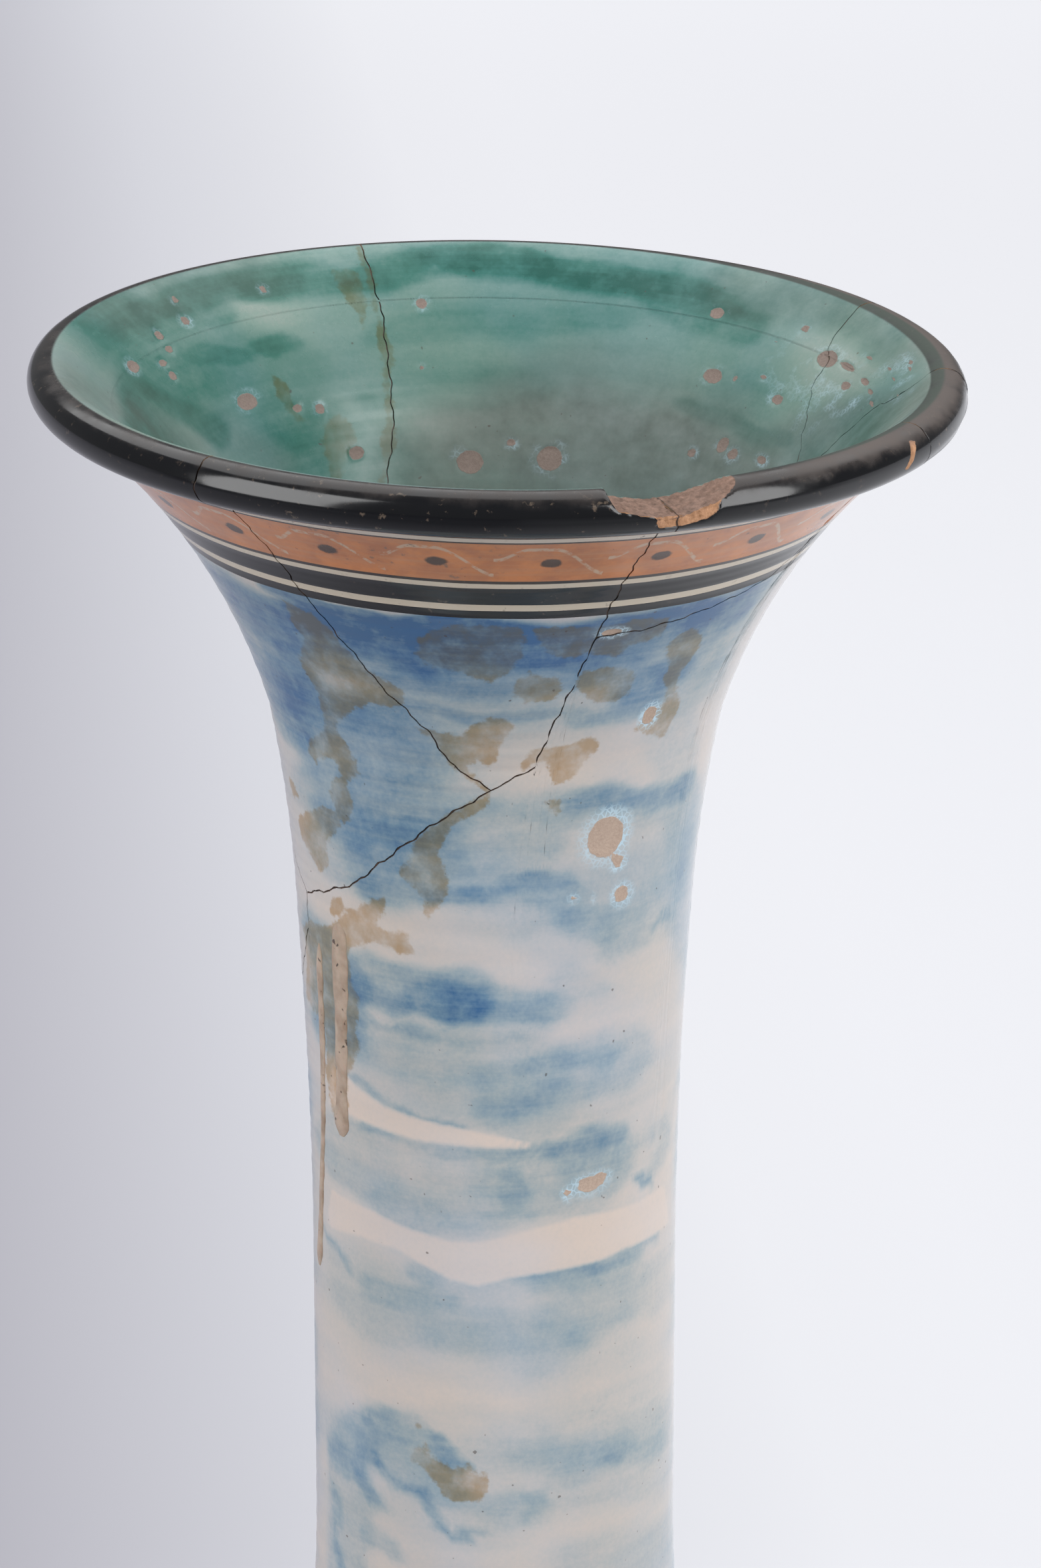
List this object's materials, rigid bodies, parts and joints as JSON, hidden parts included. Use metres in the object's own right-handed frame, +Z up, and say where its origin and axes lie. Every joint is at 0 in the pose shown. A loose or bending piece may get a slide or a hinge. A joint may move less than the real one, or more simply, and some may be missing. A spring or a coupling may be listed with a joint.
{
  "type": "long-necked glazed jar",
  "caption": "Tall long-necked jar of tin-glazed earthenware with a trumpet mouth and rolled lip, broken at the neck and glued together again.",
  "frame": {"origin": "middle of the foot ring's underside, where the jar stands", "axes": "+Z up the jar's axis to the mouth; -Y is the front that the picture shows; +X is to the viewer's right"},
  "size_m": [0.2799, 0.28, 0.6995],
  "materials": {
    "tin_glazed_earthenware": "cream-white tin glaze painted in cobalt blue, ochre orange and black, pale green inside, crazed and flaked",
    "aged_glue": "brown dried glue with a soft gloss"
  },
  "bodies": {
    "root": {"vessel": "tin_glazed_earthenware", "sherd_front": "tin_glazed_earthenware", "sherd_left": "tin_glazed_earthenware", "sherd_neck_left": "tin_glazed_earthenware", "sherd_back": "tin_glazed_earthenware", "sherd_side": "tin_glazed_earthenware", "sherd_right": "tin_glazed_earthenware", "glue_front_left": "aged_glue", "glue_front_right": "aged_glue", "glue_right": "aged_glue", "glue_side": "aged_glue", "glue_back_right": "aged_glue", "glue_back_left": "aged_glue", "glue_lower_left": "aged_glue", "glue_left_side": "aged_glue", "glue_back": "aged_glue", "glue_neck_left": "aged_glue", "glue_run_long": "aged_glue", "glue_run_short": "aged_glue"}
  },
  "joints": []
}
